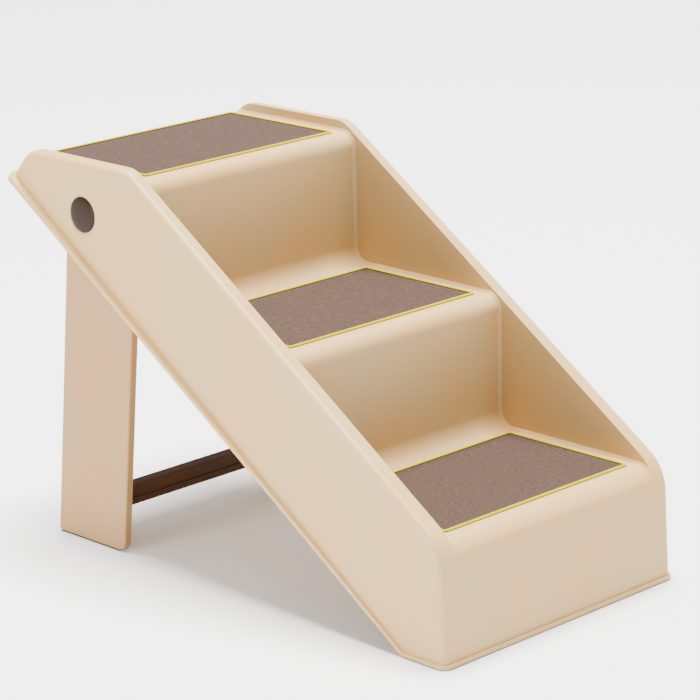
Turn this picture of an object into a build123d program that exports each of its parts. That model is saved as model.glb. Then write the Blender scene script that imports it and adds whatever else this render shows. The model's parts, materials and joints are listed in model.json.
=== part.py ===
from build123d import *
import math
import os

os.makedirs("parts", exist_ok=True)

# Folding three-step stairs for a small dog or cat, in millimetres.
# X runs across the steps, Y from the low front step to the high back, Z up.
# The origin is on the floor, under the middle of the overall length and width.
# Places along Y are first given from the front of the rim, then moved by the side plane.

# Overall size of the moulded body
overall_width = 411
overall_length = 766
rail_top_height = 507

# Wall of the moulding, and the rim that stiffens its open underside
wall = 3.0
rail_wall = 2.6
rim_reach = 3.5
rim_height = 4.2
rim_corner_radius = 12
side_draft_angle = 0.67
front_draft_angle = 1.9

# Side outline of the body
foot_length = 70
rear_tip_drop = 38
rear_lean = 37
rail_front_drop = 3.4
rail_bend_setback = 19.5
rail_front_radius = 60
rail_bend_radius = 36
rear_corner_radius = 34
rail_edge_radius = 8
inner_edge_share = 0.6

# Steps between the rails
first_rise = 149
top_rail_lip = 13.6
platform_overhang = 47.4
rail_width = 27.5
walk_draft_angle = 0.27
front_nose_radius = 29
nose_radius = 19
riser_foot_radius = 22
wall_foot_chamfer = 3.5
platform_edge_radius = 4

# Felt mats, each in a shallow pocket with a bound edge
mat_side_margin = 16
mat_margin = 9
mat_corner_radius = 7
first_mat_front = 38.5
mat_pitch_less = 4.5
pocket_depth = 1.4
mat_thickness = 2.4
binding_width = 3.0
binding_height = 4.2
binding_chamfer = 1.0
mat_clearance = 0.2

# Stiffening under the treads
rib_thickness = 2.4
rib_depth = 9
rib_spacing = 84
rib_count = 4
cross_rib_count = 1

# Rubber under the front of the body
pad_height = 1.5
pad_width = 13
pad_inset = 1.2
ledge_thickness = 3

# Leg frame, which turns about the pivots and folds up into the hollow rails
pivot_setback = 142.1
pivot_drop = 68
leg_rake_angle = 6.5
leg_front_reach = 94.2
leg_back_reach = 35.4
leg_shoulder_drop = 34
leg_side_gap = 1.8
leg_thickness = 10.4
leg_wall = 3.0
leg_edge_chamfer = 1.4
leg_toe_radius = 12
leg_heel_radius = 3
leg_pad_height = 1.8
leg_rib_count = 4
leg_rib_thickness = 2.4

# Pivots
pin_diameter = 20
pin_fit = 0.1
pin_head_diameter = 46
pin_head_height = 3.2
pin_head_taper = 1.7
seat_diameter = 50
seat_depth = 0.5
wear_ring_diameter = 36
wear_ring_height = 1.1
bearing_wall = 3.0
bearing_setback = 1.4
bearing_radius = 30
hub_radius = 19
keeper_diameter = 26
keeper_thickness = 1.6
running_gap = 0.35
stop_thickness = 4
stop_length = 28

# Crossbar between the legs, and its screws
bar_setback = 143
bar_height = 27.5
bar_middle_height = 54.8
bar_depth = 16
bar_wall = 2.6
bar_groove_height = 10
bar_groove_width = 1.6
bar_groove_depth = 1.3
bar_end_thickness = 3
screw_shank_diameter = 4
screw_head_diameter = 8
screw_head_height = 2.6
screw_length = 8
screw_spacing = 13
pin_screw_length = 14

overrun = 20

# Values that follow from the ones above
half_width = overall_width / 2
body_half_width = half_width - rim_reach
side_draft = math.tan(math.radians(side_draft_angle))
front_draft = math.tan(math.radians(front_draft_angle))
walk_draft = math.tan(math.radians(walk_draft_angle))
rear_top_place = overall_length - rear_lean
rear_tip_height = rail_top_height - rear_tip_drop
belly_slope = (rear_tip_height - pad_height) / (overall_length - foot_length)
belly_angle = math.degrees(math.atan(belly_slope))
top_of_space = rail_top_height + overrun
walk_width = overall_width - 2 * rail_width
front_place = rim_reach + first_rise * front_draft
rise = (rail_top_height - top_rail_lip - first_rise) / 2
going = (rear_top_place + platform_overhang - front_place) / 3
treads = [first_rise + step * rise for step in range(3)]
risers = [front_place + step * going for step in (1, 2)]
rail_bend_place = risers[1] + rail_bend_setback
rail_angle = math.degrees(math.atan2(rail_top_height - first_rise + rail_front_drop,
                                     rail_bend_place - front_place))
mat_width = walk_width - 2 * mat_side_margin
mat_depth = going - nose_radius - riser_foot_radius - 2 * mat_margin
mat_fronts = [first_mat_front + step * (going - mat_pitch_less) for step in range(3)]

floor_plane = Plane(origin=(0, -overall_length / 2, 0))
side_plane = Plane(origin=(0, -overall_length / 2, 0), x_dir=(0, 1, 0), z_dir=(1, 0, 0))
front_plane = Plane(origin=(0, -overall_length / 2, 0), x_dir=(1, 0, 0), z_dir=(0, -1, 0))


def line_through(place, height, angle, inset=0):
    """A line of the side outline, moved to its right-hand side by the inset."""
    turn = math.radians(angle)
    return (place + inset * math.sin(turn), height - inset * math.cos(turn), turn)


def meet(first, second):
    """The point where two lines of the side outline cross."""
    y1, z1, t1 = first
    y2, z2, t2 = second
    span = math.sin(t1 - t2)
    along = ((y1 - y2) * math.sin(t2) - (z1 - z2) * math.cos(t2)) / span
    return (y1 + along * math.cos(t1), z1 + along * math.sin(t1))


def belly(place):
    """Height of the sloping underside at a place along the body."""
    return pad_height + (place - foot_length) * belly_slope


def front_face(height):
    """Place of the leaning front face at a height."""
    return rim_reach + height * front_draft


def side_face(height):
    """Distance of the outer side face from the middle, at a height."""
    return body_half_width - height * side_draft


def walk_side(height):
    """Distance of the rail's inner face from the middle, at a height."""
    return walk_width / 2 - (rail_top_height - height) * walk_draft


rear_turn = math.degrees(math.atan2(rail_top_height - rear_tip_height,
                                    rear_top_place - (overall_length - rim_reach)))


def outline(inset, drop):
    """Corners of the side outline, inset by a wall and dropped through the open underside."""
    front = line_through(rim_reach, 0, 90 - front_draft_angle, inset)
    rail = line_through(rail_bend_place, rail_top_height, rail_angle, inset)
    top = line_through(rail_bend_place, rail_top_height, 0, inset)
    rear = line_through(rear_top_place, rail_top_height, rear_turn - 180, inset)
    foot = line_through(0, pad_height - drop, 0)
    slant = line_through(foot_length, pad_height - drop, belly_angle)
    upper = [meet(front, foot), meet(front, rail), meet(rail, top), meet(top, rear), meet(rear, slant)]
    return upper, meet(foot, slant)


def envelope(inset, drop):
    """The body's outer form, or with an inset the room inside its walls."""
    upper, heel = outline(inset, drop)
    with BuildPart() as form:
        with BuildSketch(side_plane):
            with BuildLine():
                FilletPolyline(*upper, radius=[rail_front_radius - inset, rail_bend_radius - inset,
                                               rear_corner_radius - inset])
                Polyline(upper[-1], heel, upper[0])
            make_face()
        extrude(amount=overall_width, both=True)
        with BuildSketch(front_plane):
            low = side_face(-overrun - drop) - inset
            high = side_face(top_of_space) - inset
            with BuildLine():
                Polyline((-low, -overrun - drop), (low, -overrun - drop), (high, top_of_space),
                         (-high, top_of_space), close=True)
            make_face()
        extrude(amount=-overall_length - overrun, mode=Mode.INTERSECT)
        sides = form.faces().filter_by(lambda face: abs(face.normal_at().X) > 0.9)
        rims = [edge for face in sides for edge in face.edges()
                if edge.center().Z > belly(edge.center().Y + overall_length / 2) - drop + wall
                and edge.center().Z > pad_height - drop + wall]
        if inset:
            chamfer(rims, length=(rail_edge_radius - inset) * inner_edge_share)
        else:
            fillet(rims, radius=rail_edge_radius)
    return form.part


def stair_space(grow):
    """The space above the treads, or with growth the same space with the treads' walls."""
    front = line_through(rim_reach, 0, 90 - front_draft_angle, grow)
    nose = meet(front, line_through(0, treads[0] - grow, 0))
    below = meet(front, line_through(0, treads[0] - 2 * front_nose_radius, 0))
    points = [below, nose]
    radii = [front_nose_radius - grow]
    for riser, low, high in zip(risers, treads, treads[1:]):
        points += [(riser + grow, low - grow), (riser + grow, high - grow)]
        radii += [riser_foot_radius + grow, nose_radius - grow]
    back = overall_length + overrun
    if grow:
        points.append((back, treads[2] - grow))
    else:
        rear = line_through(rear_top_place, rail_top_height, rear_turn - 180)
        points.append(meet(rear, line_through(0, treads[2], 0)))
        points.append(meet(rear, line_through(0, rear_tip_height, 0)))
        radii.append(platform_edge_radius)
    side_growth = rail_wall if grow else 0
    closing = [(back, top_of_space), (-overrun, top_of_space), (-overrun, points[0][1]), points[0]]
    if not grow:
        closing.insert(0, (back, rear_tip_height))
    closing.insert(0, points[-1])
    with BuildPart() as space:
        with BuildSketch(side_plane):
            with BuildLine():
                FilletPolyline(*points, radius=radii)
                Polyline(*closing)
            make_face()
        extrude(amount=overall_width, both=True)
        with BuildSketch(front_plane):
            low = walk_side(0) + side_growth
            high = walk_side(top_of_space) + side_growth
            with BuildLine():
                Polyline((-low, 0), (low, 0), (high, top_of_space), (-high, top_of_space), close=True)
            make_face()
        extrude(amount=-overall_length - 2 * overrun, both=True, mode=Mode.INTERSECT)
        sides = space.faces().filter_by(lambda face: abs(face.normal_at().X) > 0.9)
        foot_edges = [edge for face in sides for edge in face.edges()
                      if -overrun / 2 < edge.center().Y + overall_length / 2 < overall_length + wall
                      and edge.center().Z < rail_top_height - wall]
        chamfer(foot_edges, length=grow or wall_foot_chamfer)
    return space.part


hull = envelope(0, 0)
core = envelope(wall, overrun)
walk = stair_space(0)
walk_with_walls = stair_space(wall)

with BuildPart() as cavity:
    add(core)
    add(walk_with_walls, mode=Mode.SUBTRACT)

# The rim follows the open underside all the way round
with BuildPart() as rim:
    lift = rim_height / math.cos(math.radians(belly_angle))
    with BuildSketch(side_plane):
        with BuildLine():
            Polyline((0, pad_height), (foot_length, pad_height), (overall_length, rear_tip_height),
                     (overall_length - rim_reach, rear_tip_height + lift),
                     meet(line_through(0, pad_height + rim_height, 0),
                          line_through(foot_length, pad_height + lift, belly_angle)),
                     (0, pad_height + rim_height), close=True)
        make_face()
    extrude(amount=half_width, both=True)
    short_edges = rim.edges().filter_by(lambda edge: edge.length < 2 * rim_height)
    side_edges = short_edges.filter_by(lambda edge: abs(edge.center().X) > half_width - wall)
    fillet(side_edges.group_by(Axis.Y)[0] + side_edges.group_by(Axis.Y)[-1], radius=rim_corner_radius)

# Ledge inside the foot that carries the rubber strips
with BuildPart() as ledge:
    with BuildSketch(floor_plane.offset(pad_height)):
        with BuildLine():
            inner = body_half_width - pad_width
            Polyline((-body_half_width + wall, rim_reach + wall), (body_half_width - wall, rim_reach + wall),
                     (body_half_width - wall, foot_length), (inner, foot_length),
                     (inner, pad_width + rim_reach), (-inner, pad_width + rim_reach),
                     (-inner, foot_length), (-body_half_width + wall, foot_length), close=True)
        make_face()
    extrude(amount=ledge_thickness)

# Ribs under each tread, trimmed to the room inside the walls
tread_ends = [(front_place, risers[0]), (risers[0], risers[1]), (risers[1], rear_top_place)]
with BuildPart() as ribs:
    for tread, (start, end) in zip(treads, tread_ends):
        middle = (start + end) / 2
        rib_top = tread - wall / 2
        rib_bottom = tread - wall - rib_depth
        with BuildSketch(side_plane):
            with Locations((middle, (rib_top + rib_bottom) / 2)):
                Rectangle(end - start, rib_top - rib_bottom)
        blade = extrude(amount=rib_thickness / 2, both=True, mode=Mode.PRIVATE)
        for count in range(rib_count):
            add(Pos((count - (rib_count - 1) / 2) * rib_spacing, 0, 0) * blade)
        for count in range(cross_rib_count):
            place = start + (count + 1) * (end - start) / (cross_rib_count + 1)
            with BuildSketch(floor_plane.offset(rib_bottom)):
                with Locations((0, place)):
                    Rectangle(walk_width, rib_thickness)
            extrude(amount=rib_top - rib_bottom)
    add(cavity.part, mode=Mode.INTERSECT)

# Inner bearing walls under the platform, which carry the inner ends of the pivots
pivot_place = overall_length - pivot_setback
pivot_height = rail_top_height - pivot_drop
leg_outer_face = side_face(pivot_height) - wall - leg_side_gap
leg_inner_face = leg_outer_face - leg_thickness
bearing_inner_face = leg_inner_face - bearing_setback - bearing_wall
bearing_top = treads[2] - wall / 2
bearing_start = risers[1] + wall / 2
with BuildPart() as bearings:
    for side in (-1, 1):
        with BuildSketch(side_plane.offset(side * bearing_inner_face)):
            with BuildLine():
                Polyline((bearing_start, bearing_top), (bearing_start, pivot_height),
                         (pivot_place - bearing_radius, pivot_height - bearing_radius),
                         (pivot_place + bearing_radius, pivot_height - bearing_radius),
                         (overall_length, pivot_height + bearing_radius), (overall_length, bearing_top),
                         close=True)
            make_face()
        extrude(amount=side * bearing_wall)
    add(cavity.part, mode=Mode.INTERSECT)

leg_turn = math.radians(leg_rake_angle)


def leg_point(down, forward):
    """A point of the leg, measured down from the pivot and forward of its middle line."""
    return (pivot_place + down * math.sin(leg_turn) - forward * math.cos(leg_turn),
            pivot_height - down * math.cos(leg_turn) - forward * math.sin(leg_turn))


# Stops inside the rails, which the back edge of each leg meets when it is down
with BuildPart() as stops:
    near = leg_back_reach + running_gap
    for side in (-1, 1):
        with BuildSketch(side_plane.offset(side * (bearing_inner_face + bearing_wall / 2))):
            with BuildLine():
                Polyline(leg_point(0, -near), leg_point(stop_length, -near),
                         leg_point(stop_length, -near - stop_thickness),
                         leg_point(0, -near - stop_thickness), close=True)
            make_face()
        extrude(amount=side * (side_face(pivot_height) - wall / 2 - bearing_inner_face - bearing_wall / 2))

with BuildPart() as stair_body:
    add(hull)
    add(rim.part)
    add(walk, mode=Mode.SUBTRACT)
    add(cavity.part, mode=Mode.SUBTRACT)
    add(ledge.part)
    add(ribs.part)
    add(bearings.part)
    add(stops.part)
    for tread, front in zip(treads, mat_fronts):
        with BuildSketch(floor_plane.offset(tread - pocket_depth)):
            with Locations((0, front + mat_depth / 2)):
                RectangleRounded(mat_width + 2 * mat_clearance, mat_depth + 2 * mat_clearance,
                                 mat_corner_radius + mat_clearance)
        extrude(amount=rise / 2, mode=Mode.SUBTRACT)
    with BuildSketch(side_plane):
        with Locations((pivot_place, pivot_height)):
            Circle(pin_diameter / 2 + pin_fit)
    extrude(amount=overall_width, both=True, mode=Mode.SUBTRACT)
    seat_face = side_face(pivot_height) - seat_depth
    for side in (-1, 1):
        with BuildSketch(side_plane.offset(side * seat_face)):
            with Locations((pivot_place, pivot_height)):
                Circle(seat_diameter / 2)
        extrude(amount=side * overrun, mode=Mode.SUBTRACT)
stair_body.part.label = "stair_body"
export_step(stair_body.part, "parts/stair_body.step")

# Felt mats and their bound edges, one pair to a tread
mat_length = mat_depth - 2 * binding_width
for name, tread, front in zip(("bottom", "middle", "top"), treads, mat_fronts):
    pocket_floor = floor_plane.offset(tread - pocket_depth)
    mat_middle = (0, front + mat_depth / 2)
    with BuildPart() as mat:
        with BuildSketch(pocket_floor):
            with Locations(mat_middle):
                RectangleRounded(mat_width - 2 * binding_width - 2 * mat_clearance,
                                 mat_length - 2 * mat_clearance,
                                 mat_corner_radius - binding_width)
        extrude(amount=mat_thickness)
    mat.part.label = name + "_mat"
    export_step(mat.part, f"parts/{name}_mat.step")
    with BuildPart() as binding:
        with BuildSketch(pocket_floor):
            with Locations(mat_middle):
                RectangleRounded(mat_width, mat_depth, mat_corner_radius)
                RectangleRounded(mat_width - 2 * binding_width, mat_length,
                                 mat_corner_radius - binding_width, mode=Mode.SUBTRACT)
        extrude(amount=binding_height)
        chamfer(binding.faces().sort_by(Axis.Z)[-1].edges(), length=binding_chamfer)
    binding.part.label = name + "_mat_binding"
    export_step(binding.part, f"parts/{name}_mat_binding.step")

# Rubber strips under the front of the body
with BuildPart() as front_pad:
    with BuildSketch(floor_plane):
        with Locations((0, pad_inset + pad_width / 2)):
            Rectangle(overall_width - 2 * rim_corner_radius, pad_width)
    extrude(amount=pad_height)
front_pad.part.label = "front_foot_pad"
export_step(front_pad.part, "parts/front_foot_pad.step")

side_pad_length = foot_length - pad_width - 3 * pad_inset
for name, side in (("left", -1), ("right", 1)):
    with BuildPart() as side_pad:
        with BuildSketch(floor_plane):
            with Locations((side * (half_width - pad_inset - pad_width / 2),
                            2 * pad_inset + pad_width + side_pad_length / 2)):
                Rectangle(pad_width, side_pad_length)
        extrude(amount=pad_height)
    side_pad.part.label = name + "_foot_pad"
    export_step(side_pad.part, f"parts/{name}_foot_pad.step")


# Leg frame
def foot_point(forward, height):
    """The point of the leg's edge at a height above the floor."""
    down = (pivot_height - height - forward * math.sin(leg_turn)) / math.cos(leg_turn)
    return leg_point(down, forward)


shoulder_reach = math.hypot(leg_shoulder_drop, leg_front_reach)
shoulder_turn = math.atan2(leg_front_reach, leg_shoulder_drop) + math.acos(leg_back_reach / shoulder_reach)
crown = leg_point(leg_back_reach * math.cos(shoulder_turn), leg_back_reach * math.sin(shoulder_turn))
bar_front_place = overall_length - bar_setback
bar_middle = (bar_front_place + bar_depth / 2, bar_middle_height)
bearing_outer_face = bearing_inner_face + bearing_wall
hub_inner_face = bearing_outer_face + running_gap


def leg_outline(inset):
    """Side outline of a leg, inset by its wall for the pocket."""
    with BuildSketch() as shape:
        with BuildLine():
            Polyline(crown, leg_point(leg_shoulder_drop, leg_front_reach),
                     foot_point(leg_front_reach, leg_pad_height),
                     foot_point(-leg_back_reach, leg_pad_height), leg_point(0, -leg_back_reach))
            ThreePointArc(leg_point(0, -leg_back_reach), leg_point(-leg_back_reach, 0), crown)
        make_face()
        feet = shape.vertices().sort_by(Axis.Y)[:2].sort_by(Axis.X)
        fillet(feet[0], radius=leg_toe_radius)
        fillet(feet[1], radius=leg_heel_radius)
        if inset:
            offset(amount=-inset, mode=Mode.REPLACE)
    return shape.sketch


screw_places = [(bar_middle[0] + bar_wall / 2, bar_middle_height + step * screw_spacing / 2) for step in (-1, 1)]
screw_radius = screw_shank_diameter / 2
leg_sketch = leg_outline(0)
leg_pocket = leg_outline(leg_wall)
toe_place = foot_point(leg_front_reach, leg_pad_height)[0] + leg_toe_radius
heel_place = foot_point(-leg_back_reach, leg_pad_height)[0] - leg_heel_radius
for name, side in (("left", -1), ("right", 1)):
    inner_plane = side_plane.offset(side * leg_inner_face)
    with BuildPart() as leg:
        with BuildSketch(inner_plane):
            add(leg_sketch)
        extrude(amount=side * leg_thickness)
        chamfer(leg.faces().sort_by(Axis.X)[0 if side < 0 else -1].edges(), length=leg_edge_chamfer)
        with BuildSketch(inner_plane):
            add(leg_pocket)
        extrude(amount=side * (leg_thickness - leg_wall), mode=Mode.SUBTRACT)
        with BuildSketch(inner_plane):
            for count in range(leg_rib_count):
                down = leg_shoulder_drop + (count + 1) * (pivot_height - leg_shoulder_drop) / (leg_rib_count + 1)
                across = (leg_front_reach - leg_back_reach) / 2
                with Locations(Location((*leg_point(down, across), 0), leg_rake_angle)):
                    Rectangle(leg_front_reach + leg_back_reach - leg_wall, leg_rib_thickness)
            with Locations(bar_middle):
                Rectangle(bar_depth + 2 * bar_wall, bar_height + 2 * bar_wall)
        extrude(amount=side * (leg_thickness - leg_wall))
        with BuildSketch(side_plane.offset(side * hub_inner_face)):
            with Locations((pivot_place, pivot_height)):
                Circle(hub_radius)
        extrude(amount=side * (leg_outer_face - leg_wall - hub_inner_face))
        with BuildSketch(side_plane.offset(side * leg_outer_face)):
            with Locations((pivot_place, pivot_height)):
                Circle(wear_ring_diameter / 2)
        extrude(amount=side * wear_ring_height)
        with BuildSketch(inner_plane):
            with Locations((pivot_place, pivot_height)):
                Circle(pin_diameter / 2 + pin_fit)
        extrude(amount=leg_thickness + overrun, both=True, mode=Mode.SUBTRACT)
        with BuildSketch(inner_plane):
            with Locations(*screw_places):
                Circle(screw_radius)
        extrude(amount=side * (screw_length - bar_end_thickness), mode=Mode.SUBTRACT)
    leg.part.label = name + "_leg"
    export_step(leg.part, f"parts/{name}_leg.step")

    with BuildPart() as foot:
        with BuildSketch(floor_plane):
            with Locations((side * (leg_outer_face - leg_thickness / 2), (toe_place + heel_place) / 2)):
                Rectangle(leg_thickness - 2 * leg_edge_chamfer, heel_place - toe_place)
        extrude(amount=leg_pad_height)
    foot.part.label = name + "_leg_pad"
    export_step(foot.part, f"parts/{name}_leg_pad.step")

# Crossbar: a channel open to the back, closed at each end by a plate for its screws
with BuildPart() as crossbar:
    with BuildSketch(side_plane):
        with Locations(bar_middle):
            Rectangle(bar_depth, bar_height)
        with Locations((bar_middle[0] + bar_wall, bar_middle_height)):
            Rectangle(bar_depth, bar_height - 2 * bar_wall, mode=Mode.SUBTRACT)
        with Locations((bar_front_place, bar_middle_height - bar_height / 2 + bar_groove_height)):
            Rectangle(2 * bar_groove_depth, bar_groove_width, mode=Mode.SUBTRACT)
    extrude(amount=leg_inner_face, both=True)
    for side in (-1, 1):
        with BuildSketch(side_plane.offset(side * leg_inner_face)):
            with Locations((bar_middle[0] + bar_wall / 2, bar_middle_height)):
                Rectangle(bar_depth - bar_wall, bar_height)
        extrude(amount=-side * bar_end_thickness)
    with BuildSketch(side_plane):
        with Locations(*screw_places):
            Circle(screw_radius)
    extrude(amount=overall_width, both=True, mode=Mode.SUBTRACT)
crossbar.part.label = "leg_crossbar"
export_step(crossbar.part, "parts/leg_crossbar.step")

with BuildPart() as crossbar_screws:
    head_face = leg_inner_face - bar_end_thickness
    for side in (-1, 1):
        with BuildSketch(side_plane.offset(side * head_face)):
            with Locations(*screw_places):
                Circle(screw_radius)
        extrude(amount=side * screw_length)
        with BuildSketch(side_plane.offset(side * head_face)):
            with Locations(*screw_places):
                Circle(screw_head_diameter / 2)
        extrude(amount=-side * screw_head_height)
crossbar_screws.part.label = "crossbar_screws"
export_step(crossbar_screws.part, "parts/crossbar_screws.step")

# Pivots: a broad-headed pin through the side, the leg and the bearing wall, and the screw in its end
pivot_axis = Axis((0, pivot_place - overall_length / 2, pivot_height), (1, 0, 0))
pivot_plane = Plane(origin=(0, pivot_place - overall_length / 2, pivot_height), x_dir=(1, 0, 0),
                    z_dir=(0, -1, 0))


def turned(points, side):
    """A turned part: a half section of distance from the middle and radius, spun on the pivot."""
    with BuildPart() as piece:
        with BuildSketch(pivot_plane):
            with BuildLine():
                Polyline(*[(side * along, radius) for along, radius in points], close=True)
            make_face()
        revolve(axis=pivot_axis)
    return piece


pin_radius = pin_diameter / 2
head_radius = pin_head_diameter / 2
head_top = seat_face + pin_head_height
keeper_face = bearing_inner_face - keeper_thickness
screw_end = keeper_face + pin_screw_length
for name, side in (("left", -1), ("right", 1)):
    pin = turned([(bearing_inner_face, screw_radius), (bearing_inner_face, pin_radius),
                  (seat_face, pin_radius), (seat_face, head_radius), (head_top, head_radius - pin_head_taper),
                  (head_top, 0), (screw_end, 0), (screw_end, screw_radius)], side)
    pin.part.label = name + "_pivot_pin"
    export_step(pin.part, f"parts/{name}_pivot_pin.step")

    pin_screw = turned([(keeper_face, 0), (keeper_face, keeper_diameter / 2),
                        (bearing_inner_face, keeper_diameter / 2), (bearing_inner_face, screw_radius),
                        (screw_end, screw_radius), (screw_end, 0)], side)
    pin_screw.part.label = name + "_pivot_screw"
    export_step(pin_screw.part, f"parts/{name}_pivot_screw.step")
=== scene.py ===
# %% [markdown]
# # Folding pet stairs
# A small dog climbs three felt-covered treads between two raised rails. The body is one hollow plastic moulding,
# and a hinged leg frame holds up its high end. The working model already fixes every size and every joint, so this
# lesson adds what the eye reads: the plastic, the felt, its bound edge, the screws, the pins, the light and the
# camera.

# %% Load the working model
import json
import math

import bmesh
import bpy
import numpy as np
from mathutils import Matrix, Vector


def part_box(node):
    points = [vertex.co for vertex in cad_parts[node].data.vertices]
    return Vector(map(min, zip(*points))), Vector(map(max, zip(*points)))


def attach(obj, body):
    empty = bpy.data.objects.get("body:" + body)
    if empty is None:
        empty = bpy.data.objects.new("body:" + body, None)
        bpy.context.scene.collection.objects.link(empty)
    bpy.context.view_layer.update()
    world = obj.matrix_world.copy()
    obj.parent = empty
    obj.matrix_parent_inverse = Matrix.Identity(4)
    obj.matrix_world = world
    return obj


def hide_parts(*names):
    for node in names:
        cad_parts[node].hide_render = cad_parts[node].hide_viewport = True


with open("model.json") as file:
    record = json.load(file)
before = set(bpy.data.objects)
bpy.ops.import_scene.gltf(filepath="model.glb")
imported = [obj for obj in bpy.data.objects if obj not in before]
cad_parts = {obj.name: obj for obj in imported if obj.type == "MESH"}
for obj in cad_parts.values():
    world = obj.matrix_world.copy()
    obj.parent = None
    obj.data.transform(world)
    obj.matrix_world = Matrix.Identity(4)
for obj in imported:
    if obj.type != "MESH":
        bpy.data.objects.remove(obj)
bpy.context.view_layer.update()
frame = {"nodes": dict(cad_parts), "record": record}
MM = 0.001


def corners(node):
    """The lowest and the highest corner of a piece of the working model, in metres."""
    return np.array(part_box(node))


print("pieces in the working model:", len(frame["nodes"]))

# %% [markdown]
# ## Colour
# A colour picked from a screen is stored on the sRGB curve, but light adds up only when it is linear. One function
# turns each hex code into the linear values that a shader expects, so every colour below can be read and compared
# as the eye sees it.

# %% Turn a hex code into linear light


def linear(code):
    """Each sRGB channel is put through the sRGB curve: a straight foot, then the power 2.4. Alpha is 1."""
    srgb = np.array([int(code[place:place + 2], 16) for place in (1, 3, 5)]) / 255
    light = np.where(srgb <= 0.04045, srgb / 12.92, ((srgb + 0.055) / 1.055) ** 2.4)
    return (*light.tolist(), 1.0)


print("middle grey in linear light:", linear("#808080"))

# %% [markdown]
# ## How a material is wired
# A procedural material is a small network. Writing `nodes.new` and `links.new` for each node hides what the network
# says, so one helper adds a node, sets its own properties and its input values, and links what feeds it. A mix node
# keeps sockets for numbers, vectors and colours under the same names, so its colour sockets are picked by number.
# What is the same all over a surface stays on the shader's own sockets, and only what varies is linked.

# %% Helpers for materials
COLOUR_A = 6
COLOUR_B = 7
COLOUR_OUT = 2


def link_inputs(tree, node, sources):
    """Links each source to the node's input of that name."""
    for name, source in sources.items():
        tree.links.new(source, node.inputs[name])


def add_node(tree, kind, values=None, links=None, **settings):
    """Adds one node. Settings are its properties, values its sockets' numbers, and links what feeds them."""
    node = tree.nodes.new(kind)
    for name, value in settings.items():
        setattr(node, name, value)
    for name, value in (values or {}).items():
        node.inputs[name].default_value = value
    link_inputs(tree, node, links or {})
    return node


def new_finish(name, fixed):
    """A material with an empty network but for its surface shader, whose fixed values stay on its own sockets. The
    last value given back is the object's own coordinates, in metres, which every pattern reads."""
    finish = bpy.data.materials.new(name)
    finish.use_nodes = True
    tree = finish.node_tree
    tree.nodes.clear()
    shader = add_node(tree, "ShaderNodeBsdfPrincipled", fixed)
    add_node(tree, "ShaderNodeOutputMaterial", links={"Surface": shader.outputs["BSDF"]})
    place = add_node(tree, "ShaderNodeTexCoord").outputs["Object"]
    return finish, tree, shader, place


def set_stops(ramp, stops):
    """Puts hex colours at places from 0 to 1 on a colour ramp, which starts with two marks, one at each end."""
    marks = ramp.color_ramp.elements
    marks[0].position = stops[0][0]
    marks[1].position = stops[-1][0]
    for position, _ in stops[1:-1]:
        marks.new(position)
    for mark, (_, code) in zip(marks, stops):
        mark.color = linear(code)


def per_metre(size):
    """The scale of a pattern whose marks repeat about once in this many millimetres."""
    return 1 / (size * MM)


print("a mark every 5 mm needs the scale", per_metre(5))

# %% [markdown]
# ## The moulded plastic
# The body and legs are moulded in a sand-coloured polypropylene. The mould is lightly etched, which leaves a satin
# skin: broad soft highlights on the rounded noses and no sharp reflection. One flat colour would look like paper, so
# two patterns carry the plastic. A slow one, about a hand wide, shifts the colour a little between a greener and a
# redder sand, as pigment does when the melt flows. A fine one breaks up the highlight as the mould's grain does. Real
# grain is a few tenths of a millimetre, and is drawn 0.9 mm wide so that it shows. The legs' sand is a shade deeper:
# this is painted shade, for the shadow under the stairs, on the same plastic as the body. The bar is a dark brown
# polypropylene, and the pins are a smoother umber ABS.

# %% Moulded polypropylene and ABS
DRIFT_SIZE = 95
GRAIN_SIZE = 0.9
GRAIN_DEPTH = 0.05 * MM
GLOSS_SPREAD = 0.05


def moulded_plastic(name, cool, warm, roughness, specular):
    """Colour is a ramp between two close shades, over the slow pattern. Roughness is its middle value plus or minus
    the spread, over the fine pattern, which is also the height of the bump."""
    finish, tree, shader, place = new_finish(name, {"IOR": 1.49, "Metallic": 0.0, "Specular IOR Level": specular})
    drift = add_node(tree, "ShaderNodeTexNoise", {"Scale": per_metre(DRIFT_SIZE), "Detail": 4.0, "Roughness": 0.6},
                     {"Vector": place})
    colour = add_node(tree, "ShaderNodeValToRGB", links={"Fac": drift.outputs["Fac"]})
    set_stops(colour, ((0.38, cool), (0.64, warm)))
    grain = add_node(tree, "ShaderNodeTexNoise", {"Scale": per_metre(GRAIN_SIZE), "Detail": 2.0}, {"Vector": place})
    gloss = add_node(tree, "ShaderNodeMapRange",
                     {"To Min": roughness - GLOSS_SPREAD, "To Max": roughness + GLOSS_SPREAD},
                     {"Value": grain.outputs["Fac"]})
    bump = add_node(tree, "ShaderNodeBump", {"Strength": 0.12, "Distance": GRAIN_DEPTH},
                    {"Height": grain.outputs["Fac"]})
    link_inputs(tree, shader, {"Base Color": colour.outputs["Color"], "Roughness": gloss.outputs["Result"],
                               "Normal": bump.outputs["Normal"]})
    return finish


body_plastic = moulded_plastic("sand polypropylene, body", "#ba9b66", "#c2985d", 0.47, 0.5)
# The legs take the body's plastic in a deeper sand, a painted shade for the shadow under the stairs.
leg_plastic = moulded_plastic("sand polypropylene, legs, darkened as painted shade", "#9b794b", "#a27747", 0.46, 0.4)
bar_plastic = moulded_plastic("dark brown polypropylene", "#3f2814", "#462c17", 0.6, 0.14)
pin_plastic = moulded_plastic("umber ABS", "#24180f", "#2d1e15", 0.38, 0.09)
print("moulded:", [finish.name for finish in (body_plastic, leg_plastic, bar_plastic, pin_plastic)])

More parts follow.
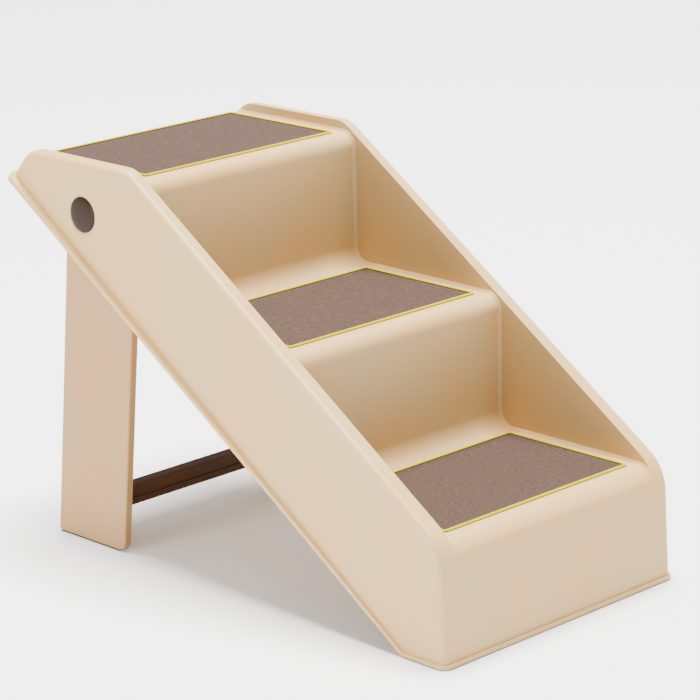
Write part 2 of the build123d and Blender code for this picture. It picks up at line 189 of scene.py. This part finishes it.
# %% [markdown]
# ## Zinc and rubber
# The screws are zinc-plated steel. The plating is a bare metal, so its colour comes from its reflections, and what
# makes it read as zinc is a gloss that wanders between clear and dull. The strips under the feet are soft black
# rubber, moulded with slanting ribs that grip the floor. The ribs are too shallow to be worth a mesh, so they are a
# wave in the bump, drawn about 9 mm apart, which is wider than on a real strip, so that they show.

# %% Zinc-plated steel
ZINC_PATCH_SIZE = 3


def zinc_plate():
    """Zinc plate: a full metal with a roughness from 0.25 to 0.5 over a pattern of patches."""
    finish, tree, shader, place = new_finish("zinc-plated steel",
                                             {"Metallic": 1.0, "Base Color": linear("#c9c8c2")})
    patches = add_node(tree, "ShaderNodeTexNoise", {"Scale": per_metre(ZINC_PATCH_SIZE), "Detail": 3.0},
                       {"Vector": place})
    gloss = add_node(tree, "ShaderNodeMapRange", {"To Min": 0.25, "To Max": 0.5},
                     {"Value": patches.outputs["Fac"]})
    link_inputs(tree, shader, {"Roughness": gloss.outputs["Result"]})
    return finish


screw_steel = zinc_plate()
print("screws:", screw_steel.name)

# %% Soft rubber
WAVE_RATE = 10
RUBBER_RIB_RADIAN = 2
RUBBER_RIB_DEPTH = 0.3 * MM
DUST_SIZE = 8


def ribbed_rubber():
    """Soft rubber: near black with a little dust. The ribs are a diagonal wave, which turns by the scale times the
    wave rate for each metre of x + y. One radian takes 2 mm here, so they lie 2 * 2 pi / sqrt(2) = 8.9 mm apart."""
    finish, tree, shader, place = new_finish("soft black rubber", {"IOR": 1.52, "Roughness": 0.75})
    dust = add_node(tree, "ShaderNodeTexNoise", {"Scale": per_metre(DUST_SIZE), "Detail": 4.0}, {"Vector": place})
    colour = add_node(tree, "ShaderNodeMix", {COLOUR_A: linear("#1d1b1a"), COLOUR_B: linear("#2b2826")},
                      {"Factor": dust.outputs["Fac"]}, data_type="RGBA")
    ribs = add_node(tree, "ShaderNodeTexWave",
                    {"Scale": per_metre(RUBBER_RIB_RADIAN) / WAVE_RATE, "Distortion": 0.0},
                    {"Vector": place}, bands_direction="DIAGONAL")
    bump = add_node(tree, "ShaderNodeBump", {"Strength": 0.5, "Distance": RUBBER_RIB_DEPTH},
                    {"Height": ribs.outputs["Fac"]})
    link_inputs(tree, shader, {"Base Color": colour.outputs[COLOUR_OUT], "Normal": bump.outputs["Normal"]})
    return finish


pad_rubber = ribbed_rubber()
print("pads:", pad_rubber.name)

# %% [markdown]
# ## Felt
# The treads carry needle-punched felt. Fibres of a few browns and mauves are tangled by barbed needles, so from a step
# away it reads as a soft mottle a few millimetres across, and close up as short crossing fibres. Real hairs on a mat
# of this size would be millions of strands, so a rough, many-layered noise gives the mottle, and a finer noise, drawn
# out along one direction, gives the fibres. Felt has no gloss, only the faint glow that loose fibres give at a grazing
# angle, which the sheen layer stands for. Real fibres are far thinner than the marks, which are 1.3 mm so that they
# show.

# %% Needle-punched felt
MOTTLE_SIZE = 5
FIBRE_SIZE = 1.3
FIBRE_STRETCH = (1.0, 0.45, 1.0)
FIBRE_ANGLE = math.radians(31)
FIBRE_DEPTH = 0.4 * MM


def needle_felt():
    """Felt: the mottle runs through three browns. Where the fibre noise passes 0.56, a paler brown lies over them,
    up to a share of 0.55 at 0.74, and the same noise is the height of the bump."""
    finish, tree, shader, place = new_finish("needle-punched felt", {
        "Roughness": 0.95, "Specular IOR Level": 0.12, "Sheen Weight": 0.08, "Sheen Roughness": 0.6,
        "Sheen Tint": linear("#c9a78f")})
    mottle = add_node(tree, "ShaderNodeTexNoise",
                      {"Scale": per_metre(MOTTLE_SIZE), "Detail": 7.0, "Roughness": 0.82}, {"Vector": place})
    colour = add_node(tree, "ShaderNodeValToRGB", links={"Fac": mottle.outputs["Fac"]})
    set_stops(colour, ((0.36, "#30241e"), (0.5, "#3b2d26"), (0.64, "#47372f")))
    stretch = add_node(tree, "ShaderNodeMapping", {"Rotation": (0, 0, FIBRE_ANGLE), "Scale": FIBRE_STRETCH},
                       {"Vector": place})
    fibre = add_node(tree, "ShaderNodeTexNoise",
                     {"Scale": per_metre(FIBRE_SIZE), "Detail": 3.0, "Distortion": 1.2},
                     {"Vector": stretch.outputs["Vector"]})
    strands = add_node(tree, "ShaderNodeMapRange", {"From Min": 0.56, "From Max": 0.74, "To Max": 0.55},
                       {"Value": fibre.outputs["Fac"]})
    fleck = add_node(tree, "ShaderNodeMix", {COLOUR_B: linear("#58473d")},
                     {COLOUR_A: colour.outputs["Color"], "Factor": strands.outputs["Result"]}, data_type="RGBA")
    bump = add_node(tree, "ShaderNodeBump", {"Strength": 0.6, "Distance": FIBRE_DEPTH},
                    {"Height": fibre.outputs["Fac"]})
    link_inputs(tree, shader, {"Base Color": fleck.outputs[COLOUR_OUT], "Normal": bump.outputs["Normal"]})
    return finish


felt_finish = needle_felt()
print("mats:", felt_finish.name)

# %% [markdown]
# ## Tape
# A narrow yellow cotton tape is folded over the felt's edge. It is woven as twill, whose slanting ribs are what tells
# a tape from a painted line. They could be strands of mesh, but at this size a wave across the tape does the same:
# higher on the ribs and lower between them, with a painted highlight of lighter yellow on the ribs and painted shade
# of darker yellow between them. Real ribs are about half a millimetre apart, and are drawn 4.4 mm apart so that they
# show. Cotton has hardly any gloss, and its base colour is deep, because a strong light from above already makes it
# pale.

# %% Twill tape
TAPE_RIB_RADIAN = 1
TAPE_RIB_DEPTH = 0.2 * MM


def twill_tape():
    """Twill tape: a diagonal wave that turns one radian in each millimetre of x + y, so its ribs lie
    2 pi / sqrt(2) = 4.4 mm apart. It is the height of the bump, and mixes two yellows over it: the lighter on the ribs
    is a painted highlight, the darker between them painted shade."""
    finish, tree, shader, place = new_finish("yellow twill tape", {"Roughness": 0.8, "Specular IOR Level": 0.03})
    ribs = add_node(tree, "ShaderNodeTexWave",
                    {"Scale": per_metre(TAPE_RIB_RADIAN) / WAVE_RATE, "Distortion": 0.4},
                    {"Vector": place}, bands_direction="DIAGONAL")
    # Painted highlight and shade: the lighter yellow goes on the ribs' tops, the darker into the grooves between them.
    colour = add_node(tree, "ShaderNodeMix", {COLOUR_A: linear("#978600"), COLOUR_B: linear("#b4a200")},
                      {"Factor": ribs.outputs["Fac"]}, data_type="RGBA")
    bump = add_node(tree, "ShaderNodeBump", {"Strength": 0.5, "Distance": TAPE_RIB_DEPTH},
                    {"Height": ribs.outputs["Fac"]})
    link_inputs(tree, shader, {"Base Color": colour.outputs[COLOUR_OUT], "Normal": bump.outputs["Normal"]})
    return finish


tape_finish = twill_tape()
print("bindings:", tape_finish.name)

# %% [markdown]
# ## Dressing the working model
# Most pieces already have their true shape, with drafts, fillets, ribs and bevels, so they keep it and only take a
# finish. Each could be named here one by one. Giving each piece its material by the slot that the record names keeps
# the two lists in step.

# %% Give each piece its finish
finishes = {
    "body_plastic": body_plastic, "leg_plastic": leg_plastic, "bar_plastic": bar_plastic,
    "pin_plastic": pin_plastic, "screw_steel": screw_steel,
    "pad_rubber": pad_rubber, "felt": felt_finish, "edge_binding": tape_finish,
}
slots = {part["node"]: part["material_slot"] for part in frame["record"]["subparts"]}
for name, piece in frame["nodes"].items():
    for place in piece.material_slots:
        place.material = finishes[slots[name]]
print("dressed:", len(slots), "pieces")

# %% [markdown]
# ## The felt mats
# A felt mat is nearly flat, but not quite: its face rises and falls by a fraction of a millimetre where the needles
# pulled it down, and its edge rolls under the tape. A cloth simulation would leave it flat, because it lies on the
# tread all over, so the shape is a height worked out over a grid. A square-to-round rule turns the grid's corners
# into quarter circles, and a smooth random field gives the face its life.

# %% A smooth random field


def soft_field(x, y, size, seed):
    """Random heights from -1 to 1 on a square lattice of this size, blended between its four nearest points
    with the weight t*t*(3 - 2t) in each direction, which leaves no crease at the lattice lines."""
    column = x / size
    row = y / size
    left = np.floor(column).astype(int)
    low = np.floor(row).astype(int)
    tx = column - left
    ty = row - low
    wx = tx * tx * (3 - 2 * tx)
    wy = ty * ty * (3 - 2 * ty)
    left = left - left.min()
    low = low - low.min()
    heights = np.random.default_rng(seed).uniform(-1, 1, (left.max() + 2, low.max() + 2))
    front = heights[left, low] * (1 - wx) + heights[left + 1, low] * wx
    back = heights[left, low + 1] * (1 - wx) + heights[left + 1, low + 1] * wx
    return front * (1 - wy) + back * wy


sample = soft_field(*np.meshgrid(np.linspace(0, 1, 50), np.linspace(0, 1, 50)), size=0.1, seed=1)
print("a field runs from", sample.min().round(2), "to", sample.max().round(2))

# %% Surfaces from grids


def mesh_piece(name, points, faces, finish):
    """A smooth-shaded mesh object at the origin from arrays of points and faces, with one finish."""
    mesh = bpy.data.meshes.new(name)
    mesh.from_pydata(points.tolist(), [], faces)
    mesh.polygons.foreach_set("use_smooth", np.full(len(mesh.polygons), True))
    mesh.materials.append(finish)
    mesh.update()
    piece = bpy.data.objects.new(name, mesh)
    bpy.context.collection.objects.link(piece)
    return piece


def close_mesh(piece):
    """Merges points that lie on each other, such as a pole's, and turns every face outwards."""
    shape = bmesh.new()
    shape.from_mesh(piece.data)
    bmesh.ops.remove_doubles(shape, verts=shape.verts, dist=1e-6)
    bmesh.ops.recalc_face_normals(shape, faces=shape.faces)
    shape.to_mesh(piece.data)
    shape.free()


def grid_faces(rows, columns, closed=False):
    """Four-sided faces of a grid of points that are numbered row by row, closed round its rows on request."""
    across = np.arange(columns if closed else columns - 1)
    down = np.arange(rows - 1)[:, None] * columns
    nearer = down + across
    further = down + (across + 1) % columns
    return np.stack([nearer, further, further + columns, nearer + columns], axis=-1).reshape(-1, 4)


print("a grid of 3 by 4 points has", len(grid_faces(3, 4)), "faces")

# %% The shape of a mat
FELT_GRID = 1.2 * MM
FELT_ROLL = 1.6 * MM
FELT_CORNER = 4 * MM
FELT_DROP = 0.25 * MM
FELT_FOOT = 0.3 * MM
WIDE_SIZE = 7 * MM
WIDE_HEIGHT = 0.06 * MM
NARROW_SIZE = 2.4 * MM
NARROW_HEIGHT = 0.05 * MM


def felt_mat(name, low, high, seed):
    """A closed slab. Its face lies a drop under the mat's top, plus two random fields, less the roll of the edge,
    which falls as a quarter circle over the last stretch. In a corner the point (a, b) from the corner's centre moves
    to (a, b) * max(a, b) / length(a, b), so the square corner becomes round. A skirt and a flat base close it."""
    width, depth, _ = high - low
    columns = int(width / FELT_GRID)
    rows = int(depth / FELT_GRID)
    y, x = np.meshgrid(np.linspace(-1, 1, rows) * depth / 2, np.linspace(-1, 1, columns) * width / 2, indexing="ij")
    past_x = np.maximum(np.abs(x) - (width / 2 - FELT_CORNER), 0)
    past_y = np.maximum(np.abs(y) - (depth / 2 - FELT_CORNER), 0)
    furthest = np.maximum(past_x, past_y)
    corner = (past_x > 0) & (past_y > 0)
    pull = np.where(corner, furthest / np.maximum(np.hypot(past_x, past_y), 1e-9), 1)
    rounded_x = np.sign(x) * (np.minimum(np.abs(x), width / 2 - FELT_CORNER) + past_x * pull)
    rounded_y = np.sign(y) * (np.minimum(np.abs(y), depth / 2 - FELT_CORNER) + past_y * pull)
    edge = np.where(corner, FELT_CORNER - furthest, np.minimum(width / 2 - np.abs(x), depth / 2 - np.abs(y)))
    roll = FELT_ROLL - np.sqrt(np.maximum(FELT_ROLL ** 2 - np.maximum(FELT_ROLL - edge, 0) ** 2, 0))
    face = (high[2] - FELT_DROP + WIDE_HEIGHT * soft_field(x, y, WIDE_SIZE, seed)
            + NARROW_HEIGHT * soft_field(x, y, NARROW_SIZE, seed + 1))
    height = np.maximum(face - roll, low[2] + FELT_FOOT)
    middle = (low + high) / 2
    points = np.stack([rounded_x + middle[0], rounded_y + middle[1], height], axis=-1).reshape(-1, 3)
    number = np.arange(rows * columns).reshape(rows, columns)
    rim = np.concatenate([number[0, :-1], number[:-1, -1], number[-1, :0:-1], number[:0:-1, 0]])
    base = points[rim].copy()
    base[:, 2] = low[2]
    below = len(points) + np.arange(len(rim))
    skirt = np.stack([below, np.roll(below, -1), np.roll(rim, -1), rim], axis=-1)
    faces = grid_faces(rows, columns).tolist() + skirt.tolist() + [below[::-1].tolist()]
    return mesh_piece(name, np.concatenate([points, base]), faces, felt_finish)


# %% Lay the mats
TREADS = ("bottom", "middle", "top")
for number, tread in enumerate(TREADS):
    low, high = corners(tread + "_mat")
    mat = felt_mat(tread + "_felt", low, high, seed=11 * number + 3)
    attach(mat, "stair_body")
    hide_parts(tread + "_mat")
    print(mat.name, "felt", (1000 * (high - low)).round(1), "mm,", len(mat.data.polygons), "faces")

# %% [markdown]
# ## The binding
# The yellow tape stands on the floor of the mat's pocket, goes over the top as a soft crown, and ends in a lip that
# lies on the felt. A curve with a bevel could follow the mat, but it would be a tube. One outline of the folded tape,
# carried round the mat, gives the fold itself, and the crown catches the light on all four sides, where a square edge
# would leave the far ones dark.

# %% Fold the tape round each mat
TAPE_CORNER = 7 * MM
TAPE_WIDTH = 4.4 * MM
TAPE_SHOULDER = 2 * MM
LIP_THICKNESS = 0.5 * MM
TAPE_GAP = 0.15 * MM
CORNER_STEPS = 10
CROWN_STEPS = 13
CROWN_POWER = 0.7


def folded_tape(name, low, high, felt_low, felt_high):
    """An outline of inward distance and height, carried round a rectangle with round corners. At the inward distance
    d, a corner is a quarter circle of radius R - d about its own centre. The crown's height over the line from
    shoulder to lip is the sine of an angle from 0 to pi, to the power 0.7, which makes it fuller than a half circle."""
    fold = np.linspace(0, math.pi, CROWN_STEPS)
    share = (1 - np.cos(fold)) / 2
    lip = felt_high[2] - low[2] + TAPE_GAP
    line = TAPE_SHOULDER + (lip + LIP_THICKNESS - TAPE_SHOULDER) * share
    inner_wall = felt_low[0] - low[0] - TAPE_GAP
    inward = np.concatenate([[0], TAPE_WIDTH * share, [TAPE_WIDTH, inner_wall, inner_wall]])
    crown = line + (high[2] - low[2] - line) * np.maximum(np.sin(fold), 0) ** CROWN_POWER
    height = np.concatenate([[0], crown, [lip, lip, 0]])
    steps = np.linspace(0, math.pi / 2, CORNER_STEPS + 1)
    angle = np.concatenate([steps + quarter * math.pi / 2 for quarter in range(4)])[:, None]
    half = (high - low) / 2 - TAPE_CORNER
    middle = (high + low) / 2
    centre_x = middle[0] + half[0] * np.repeat([1, -1, -1, 1], len(steps))
    centre_y = middle[1] + half[1] * np.repeat([1, 1, -1, -1], len(steps))
    reach = TAPE_CORNER - inward
    x = centre_x[:, None] + reach * np.cos(angle)
    y = centre_y[:, None] + reach * np.sin(angle)
    points = np.stack(np.broadcast_arrays(x, y, low[2] + height), axis=-1).reshape(-1, 3)
    number = np.arange(len(points)).reshape(x.shape)
    onward = np.roll(number, -1, axis=0)
    faces = np.stack([number, onward, np.roll(onward, -1, axis=1), np.roll(number, -1, axis=1)], axis=-1)
    return mesh_piece(name, points, faces.reshape(-1, 4).tolist(), tape_finish)


for tread in TREADS:
    node = tread + "_mat_binding"
    low, high = corners(node)
    tape = folded_tape(tread + "_folded_tape", low, high, *corners(tread + "_mat"))
    close_mesh(tape)
    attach(tape, "stair_body")
    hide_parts(node)
    print(tape.name, "outside", (1000 * (high - low)).round(1), "mm,", len(tape.data.polygons), "faces")

# %% [markdown]
# ## Turned pieces
# The screws and the pivot pins are turned forms, and the working model keeps them plain. A modifier could spin an
# outline, but the cross in a screw's head needs single points lowered, so each is one surface of rings about its own
# axis, which runs across the stairs. A list of rings gives the outline, from the far end out to the middle of the
# head.

# %% Spin an outline round a line across the stairs


def spun(centre, out, along, radius, turns, sink=0):
    """Ring i lies along[i] from the centre towards the outside, with radius[i]. Both ends have no radius, so their
    rings close to a point when the doubles are merged. sink lowers single points, for a recess in a head."""
    turn = np.linspace(0, 2 * math.pi, turns, endpoint=False)
    x = centre[0] + out * (along[:, None] - sink)
    y = centre[1] + radius[:, None] * np.cos(turn)
    z = centre[2] + radius[:, None] * np.sin(turn)
    points = np.stack(np.broadcast_arrays(x, y, z), axis=-1).reshape(-1, 3)
    faces = grid_faces(len(along), turns, closed=True)
    return points, faces if out < 0 else faces[:, ::-1]


def turned_piece(name, node, body, slot, forms):
    """Several spun forms in one piece, with doubles merged, that stands for a node of the working model."""
    starts = np.cumsum([0] + [len(points) for points, _ in forms])
    faces = np.concatenate([sides + start for (_, sides), start in zip(forms, starts)])
    piece = mesh_piece(name, np.concatenate([points for points, _ in forms]), faces.tolist(), finishes[slot])
    close_mesh(piece)
    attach(piece, body)
    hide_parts(node)
    return piece


rod, _ = spun((0, 0, 0), 1, np.array([0, 0, 1, 1]), np.array([0, 1, 1, 0]), 8)
print("a plain rod of 4 rings and 8 turns has", len(rod), "points")

# %% [markdown]
# ## The screws
# The crossbar's screws are pan heads and the pivots' are washer heads, all with a cross recess. A recess could be cut
# with a boolean. Here it is sunk where a point of the dome lies close to either of two lines through its centre,
# which needs no second shape and leaves the mesh closed.

# %% A screw with a cross recess
SCREW_TURNS = 64
DOME_RINGS = 22
SHANK_RADIUS = 2 * MM
TIP_SHARE = 0.4
FLANGE_ROUND = 0.6
FLANGE_TOP = 0.94
CROSS_HALF_WIDTH = 0.16
CROSS_REACH = 0.6
CROSS_DEPTH = 0.4


def cross_screw(centre, out, length, flange_radius, flange_height, head_radius, head_height):
    """Tip, shank, flange and dome. At the share r of its radius, the dome stands over the flange by the rest of the
    head's height times 1 - r^4. The cross goes 0.4 of the head's height deep where the smaller of |u| and |v| is
    under 0.16 of the head's radius and the larger is under 0.6 of it."""
    below = [-length, -length, SHANK_RADIUS - length, 0, 0, FLANGE_ROUND * flange_height, flange_height]
    share = np.linspace(1, 0, DOME_RINGS)
    along = np.concatenate([below, flange_height + (head_height - flange_height) * (1 - share ** 4)])
    radius = np.concatenate([[0, TIP_SHARE * SHANK_RADIUS, SHANK_RADIUS, SHANK_RADIUS, flange_radius, flange_radius,
                              FLANGE_TOP * flange_radius], FLANGE_TOP * head_radius * share])
    turn = np.linspace(0, 2 * math.pi, SCREW_TURNS, endpoint=False)
    u = np.abs(radius[:, None] * np.cos(turn))
    v = np.abs(radius[:, None] * np.sin(turn))
    cross = (np.minimum(u, v) < CROSS_HALF_WIDTH * head_radius) & (np.maximum(u, v) < CROSS_REACH * head_radius)
    on_dome = (np.arange(len(along)) > len(below))[:, None]
    return spun(centre, out, along, radius, SCREW_TURNS, np.where(cross & on_dome, CROSS_DEPTH * head_height, 0))


# %% Set the crossbar's screws
PAN_HEIGHT = 2.6 * MM
PAN_EDGE_SHARE = 0.45
BAR_END_THICKNESS = 3 * MM
low, high = corners("crossbar_screws")
head_radius = (high[1] - low[1]) / 2
end_face = corners("leg_crossbar")[1][0] - BAR_END_THICKNESS
forms = [cross_screw((side * end_face, (low[1] + high[1]) / 2, height), -side, high[0] - end_face,
                     head_radius, PAN_EDGE_SHARE * PAN_HEIGHT, head_radius, PAN_HEIGHT)
         for side in (-1, 1) for height in (low[2] + head_radius, high[2] - head_radius)]
pans = turned_piece("crossbar_pan_screws", "crossbar_screws", "leg_frame", "screw_steel", forms)
print("crossbar screws:", len(forms), "with", len(pans.data.polygons), "faces")

# %% Set the pivots' screws
SIDES = ((-1, "left"), (1, "right"))
WASHER_HEAD_HEIGHT = 1.6 * MM
WASHER_SHARE = 0.5
WASHER_DOME_RADIUS = 5.5 * MM
for side, name in SIDES:
    low, high = corners(name + "_pivot_screw")
    inner, outer = sorted((abs(low[0]), abs(high[0])))
    centre = (side * (inner + WASHER_HEAD_HEIGHT), (low[1] + high[1]) / 2, (low[2] + high[2]) / 2)
    form = cross_screw(centre, -side, outer - inner - WASHER_HEAD_HEIGHT, (high[1] - low[1]) / 2,
                       WASHER_SHARE * WASHER_HEAD_HEIGHT, WASHER_DOME_RADIUS, WASHER_HEAD_HEIGHT)
    turned_piece(name + "_washer_head_screw", name + "_pivot_screw", "stair_body", "screw_steel", [form])
    print(name, "pivot screw:", round(1000 * (outer - inner), 1), "mm long")

# %% [markdown]
# ## The pivot pins
# The round dark thing on the side is the head of the pivot pin, a low dome like a furniture button. The shank goes
# through the side, the leg and the bearing wall, and its far end has the hole for the screw. A flattened sphere would
# be too pointed in the middle, so the dome has an outline of its own, steep at its edge and nearly flat in the
# middle.

# %% Turn the pins
PIN_TURNS = 96
PIN_HEAD_HEIGHT = 3.2 * MM
PIN_EDGE_HEIGHT = 0.4 * MM
PIN_RADIUS = 10 * MM
PIN_CHAMFER = 0.8 * MM
PIN_HOLE_DEPTH = 12.4 * MM
PIN_DOME_RINGS = 26
PIN_DOME_POWER = 2.6


def dome_pin(centre, out, length, head_radius):
    """Hole, shank, head edge and dome. At the share r of the head's radius, the dome stands over its edge by the
    rest of the head's height times the square root of 1 - r^2.6, so it is steep at the edge and flat in the middle."""
    share = np.cos(np.linspace(0, math.pi / 2, PIN_DOME_RINGS))
    share[-1] = 0
    dome = PIN_EDGE_HEIGHT + (PIN_HEAD_HEIGHT - PIN_EDGE_HEIGHT) * np.sqrt(1 - share ** PIN_DOME_POWER)
    hole_floor = PIN_HOLE_DEPTH - length
    along = np.concatenate([[hole_floor, hole_floor, -length, -length, PIN_CHAMFER - length, 0, 0], dome])
    radius = np.concatenate([[0, SHANK_RADIUS, SHANK_RADIUS, PIN_RADIUS - PIN_CHAMFER, PIN_RADIUS, PIN_RADIUS,
                              head_radius], head_radius * share])
    return spun(centre, out, along, radius, PIN_TURNS)


for side, name in SIDES:
    low, high = corners(name + "_pivot_pin")
    inner, outer = sorted((abs(low[0]), abs(high[0])))
    seat = outer - PIN_HEAD_HEIGHT
    form = dome_pin((side * seat, (low[1] + high[1]) / 2, (low[2] + high[2]) / 2), side, seat - inner,
                    (high[1] - low[1]) / 2)
    pin = turned_piece(name + "_dome_head_pin", name + "_pivot_pin", "stair_body", "pin_plastic", [form])
    print(name, "pin:", round(1000 * (outer - inner), 1), "mm long,", len(pin.data.polygons), "faces")

# %% [markdown]
# ## The camera
# The photograph was taken from the front left and above, with a long lens that keeps the rails almost parallel. A
# camera could be moved by eye until the picture fits. Here its place and direction were worked out from straight
# edges of the stairs whose real lengths are known, and the lens follows from how many pixels one radian takes in a
# picture 700 pixels wide.

# %% Set the camera
IMAGE_WIDTH = 700
SENSOR_WIDTH = 36
PIXELS_PER_RADIAN = 3050.744
CAMERA_PLACE = (-2.53888, -2.63986, 1.34521)
CAMERA_RIGHT = (0.71181, -0.70197, -0.02385)
CAMERA_UPWARD = (0.21494, 0.18537, 0.95888)
CAMERA_BACKWARD = (-0.66868, -0.68766, 0.28282)


def stand_at(thing, place, right, upward, backward):
    """Sets where a camera or lamp stands: its own three axes are the columns of its turn. It looks along the
    opposite of backward."""
    placed = np.eye(4)
    placed[:3, :3] = np.array([right, upward, backward]).T
    placed[:3, 3] = place
    thing.matrix_world = Matrix(placed.tolist())
    bpy.context.collection.objects.link(thing)


camera_data = bpy.data.cameras.new("camera")
camera_data.sensor_width = SENSOR_WIDTH
camera_data.lens = SENSOR_WIDTH * PIXELS_PER_RADIAN / IMAGE_WIDTH
camera = bpy.data.objects.new("camera", camera_data)
stand_at(camera, CAMERA_PLACE, CAMERA_RIGHT, CAMERA_UPWARD, CAMERA_BACKWARD)
bpy.context.scene.camera = camera
print("lens:", round(camera_data.lens, 1), "mm")

# %% [markdown]
# ## Floor and light
# The stairs stand on a plain white floor, so large that its edge lies far behind them. A curved paper sweep would do
# the same, but the camera sees only its flat part. A faint glow of the floor's own keeps the paper as pale as a
# studio's. A wide soft lamp hangs far overhead, so that the treads and noses are brightest and every tread gets the
# same light. A small one stands low on the left: it lifts the near side, and the near rail shades the inside of the
# far one. The front gets no lamp of its own. The world gives a white fill that keeps the shadows pale.

# %% Build the floor
FLOOR_REACH = 12
FLOOR_GLOW = 0.1
floor_corners = [(x * FLOOR_REACH, y * FLOOR_REACH, 0) for x, y in ((-1, -1), (1, -1), (1, 1), (-1, 1))]
floor_mesh = bpy.data.meshes.new("floor")
floor_mesh.from_pydata(floor_corners, [], [(0, 1, 2, 3)])
floor = bpy.data.objects.new("floor", floor_mesh)
bpy.context.collection.objects.link(floor)
floor_finish, *_ = new_finish("white studio sweep", {
    "Roughness": 0.9, "Base Color": linear("#e6e6e6"),
    "Emission Color": linear("#ffffff"), "Emission Strength": FLOOR_GLOW})
floor_mesh.materials.append(floor_finish)
print("floor:", 2 * FLOOR_REACH, "m wide")

# %% Hang the lights
LIT_POINT = np.array((0, 0, 0.25))
WORLD_STRENGTH = 1.0


def soft_light(name, power, size, place):
    """A square area lamp of this power in watts and size in metres that faces the lit point. Its backward axis is the
    direction away from that point, its right is at right angles to this and to the vertical, or to y for a lamp
    overhead, and its upward axis is at right angles to both."""
    light = bpy.data.lights.new(name, "AREA")
    light.energy = power
    light.size = size
    backward = np.array(place, float) - LIT_POINT
    backward /= np.linalg.norm(backward)
    right = np.cross((0, 0, 1) if abs(backward[2]) < 0.99 else (0, 1, 0), backward)
    right /= np.linalg.norm(right)
    stand_at(bpy.data.objects.new(name, light), place, right, np.cross(backward, right), backward)
    print("lamp", name + ":", power, "W")


soft_light("overhead", power=4500, size=4.0, place=(0.8, 0.5, 9.0))
soft_light("left side", power=75, size=0.7, place=(-2.8, 0.5, 0.45))
world = bpy.data.worlds.new("studio")
world.use_nodes = True
bpy.context.scene.world = world
background = next(node for node in world.node_tree.nodes if node.type == "BACKGROUND")
background.inputs["Color"].default_value = linear("#ffffff")
background.inputs["Strength"].default_value = WORLD_STRENGTH
